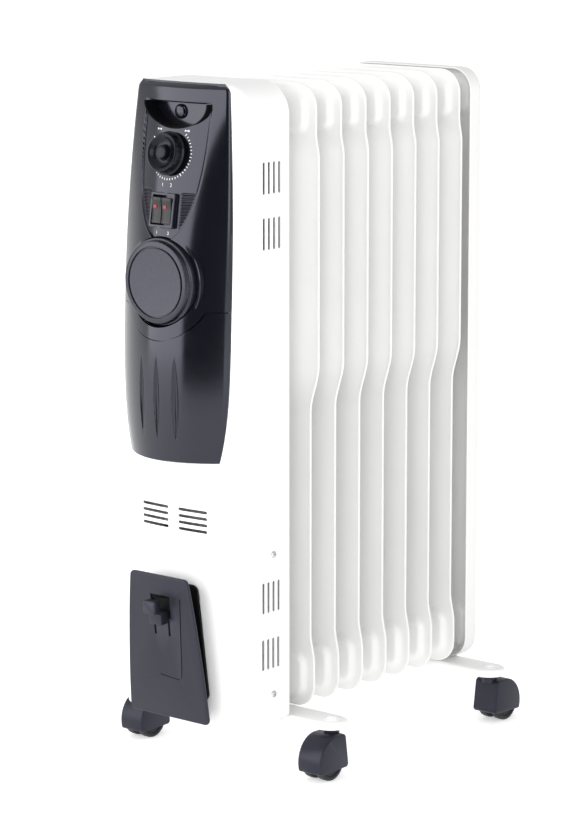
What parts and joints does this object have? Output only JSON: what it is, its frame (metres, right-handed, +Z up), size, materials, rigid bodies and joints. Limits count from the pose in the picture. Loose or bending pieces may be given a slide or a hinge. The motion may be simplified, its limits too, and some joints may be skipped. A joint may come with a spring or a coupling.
{
  "type": "oil filled radiator heater",
  "caption": "Oil filled column radiator with a white sheet cover, black control panel with knob and rocker switches, cord wrap and twin-wheel casters.",
  "frame": {"origin": "on the floor, under the middle of the whole heater", "axes": "+X to the right of someone facing the controls, +Y from the control end to the rear fin, +Z up"},
  "size_m": [0.252, 0.4006, 0.638],
  "materials": {
    "fin_paint": "satin warm white enamel",
    "white_paint": "satin white enamel",
    "panel_plastic": "semi-matt black, fine texture",
    "knob_plastic": "semi-matt black",
    "rocker_plastic": "satin black",
    "trim_plastic": "matt black",
    "wheel_plastic": "matt black",
    "brass": "turned",
    "gasket_rubber": "matt",
    "terminal_plastic": "matt",
    "element_steel": "drawn tube",
    "zinc_steel": "bright zinc plated"
  },
  "bodies": {
    "radiator": {"fin_1": "fin_paint", "fin_2": "fin_paint", "fin_3": "fin_paint", "fin_4": "fin_paint", "fin_5": "fin_paint", "fin_6": "fin_paint", "fin_7": "fin_paint", "fin_8": "fin_paint", "fin_9": "fin_paint", "upper_header_collars": "fin_paint", "lower_header_collars": "fin_paint", "heating_element_low": "element_steel", "heating_element_high": "element_steel", "element_flange": "brass", "element_gasket": "gasket_rubber", "oil_fill_plug": "zinc_steel", "thermal_cutout": "zinc_steel", "cover_brackets": "zinc_steel", "front_cover": "white_paint", "cover_screws": "zinc_steel", "control_panel": "panel_plastic", "lower_panel": "panel_plastic", "round_cap": "panel_plastic", "grip_cup": "panel_plastic", "grip_boss": "panel_plastic", "thermostat": "zinc_steel", "switch_frame": "panel_plastic", "switch_body_left": "rocker_plastic", "switch_body_right": "rocker_plastic", "terminal_block": "terminal_plastic", "cord_gland": "trim_plastic", "cord_spool": "trim_plastic", "spool_screws": "zinc_steel", "cord_plate": "trim_plastic", "front_foot": "white_paint", "rear_foot": "white_paint", "front_foot_ubolt": "zinc_steel", "rear_foot_ubolt": "zinc_steel", "front_foot_nuts": "zinc_steel", "rear_foot_nuts": "zinc_steel", "caster_stems": "zinc_steel"},
    "thermostat_knob": {"thermostat_knob": "knob_plastic"},
    "left_rocker": {"rocker_left": "rocker_plastic"},
    "right_rocker": {"rocker_right": "rocker_plastic"},
    "front_left_caster": {"caster_1_hood": "trim_plastic", "caster_1_axle": "zinc_steel"},
    "front_left_inner_wheel": {"caster_1_wheel_inner": "wheel_plastic"},
    "front_left_outer_wheel": {"caster_1_wheel_outer": "wheel_plastic"},
    "front_right_caster": {"caster_2_hood": "trim_plastic", "caster_2_axle": "zinc_steel"},
    "front_right_inner_wheel": {"caster_2_wheel_inner": "wheel_plastic"},
    "front_right_outer_wheel": {"caster_2_wheel_outer": "wheel_plastic"},
    "rear_left_caster": {"caster_3_hood": "trim_plastic", "caster_3_axle": "zinc_steel"},
    "rear_left_inner_wheel": {"caster_3_wheel_inner": "wheel_plastic"},
    "rear_left_outer_wheel": {"caster_3_wheel_outer": "wheel_plastic"},
    "rear_right_caster": {"caster_4_hood": "trim_plastic", "caster_4_axle": "zinc_steel"},
    "rear_right_inner_wheel": {"caster_4_wheel_inner": "wheel_plastic"},
    "rear_right_outer_wheel": {"caster_4_wheel_outer": "wheel_plastic"}
  },
  "joints": [
    {"name": "thermostat_turn", "type": "hinge", "parent": "radiator", "child": "thermostat_knob", "pos_m": [0, -0.16874, 0.575], "axis": [0, -0.9781, 0.2079], "range_deg": [0, 270]},
    {"name": "left_rocker_tilt", "type": "hinge", "parent": "radiator", "child": "left_rocker", "pos_m": [-0.0068, -0.17536, 0.52469], "axis": [1, 0, 0], "range_deg": [-14, 0]},
    {"name": "right_rocker_tilt", "type": "hinge", "parent": "radiator", "child": "right_rocker", "pos_m": [0.0068, -0.17536, 0.52469], "axis": [1, 0, 0], "range_deg": [-14, 0]},
    {"name": "front_left_swivel", "type": "hinge", "parent": "radiator", "child": "front_left_caster", "pos_m": [-0.111, -0.0737, 0.04], "axis": [0, 0, 1], "continuous": true},
    {"name": "front_left_inner_roll", "type": "hinge", "parent": "front_left_caster", "child": "front_left_inner_wheel", "pos_m": [-0.111, -0.0867, 0.017], "axis": [1, 0, 0], "continuous": true},
    {"name": "front_left_outer_roll", "type": "hinge", "parent": "front_left_caster", "child": "front_left_outer_wheel", "pos_m": [-0.111, -0.0867, 0.017], "axis": [1, 0, 0], "continuous": true},
    {"name": "front_right_swivel", "type": "hinge", "parent": "radiator", "child": "front_right_caster", "pos_m": [0.111, -0.0737, 0.04], "axis": [0, 0, 1], "continuous": true},
    {"name": "front_right_inner_roll", "type": "hinge", "parent": "front_right_caster", "child": "front_right_inner_wheel", "pos_m": [0.111, -0.0867, 0.017], "axis": [1, 0, 0], "continuous": true},
    {"name": "front_right_outer_roll", "type": "hinge", "parent": "front_right_caster", "child": "front_right_outer_wheel", "pos_m": [0.111, -0.0867, 0.017], "axis": [1, 0, 0], "continuous": true},
    {"name": "rear_left_swivel", "type": "hinge", "parent": "radiator", "child": "rear_left_caster", "pos_m": [-0.111, 0.1677, 0.04], "axis": [0, 0, 1], "continuous": true},
    {"name": "rear_left_inner_roll", "type": "hinge", "parent": "rear_left_caster", "child": "rear_left_inner_wheel", "pos_m": [-0.111, 0.1807, 0.017], "axis": [1, 0, 0], "continuous": true},
    {"name": "rear_left_outer_roll", "type": "hinge", "parent": "rear_left_caster", "child": "rear_left_outer_wheel", "pos_m": [-0.111, 0.1807, 0.017], "axis": [1, 0, 0], "continuous": true},
    {"name": "rear_right_swivel", "type": "hinge", "parent": "radiator", "child": "rear_right_caster", "pos_m": [0.111, 0.1677, 0.04], "axis": [0, 0, 1], "continuous": true},
    {"name": "rear_right_inner_roll", "type": "hinge", "parent": "rear_right_caster", "child": "rear_right_inner_wheel", "pos_m": [0.111, 0.1807, 0.017], "axis": [1, 0, 0], "continuous": true},
    {"name": "rear_right_outer_roll", "type": "hinge", "parent": "rear_right_caster", "child": "rear_right_outer_wheel", "pos_m": [0.111, 0.1807, 0.017], "axis": [1, 0, 0], "continuous": true}
  ]
}
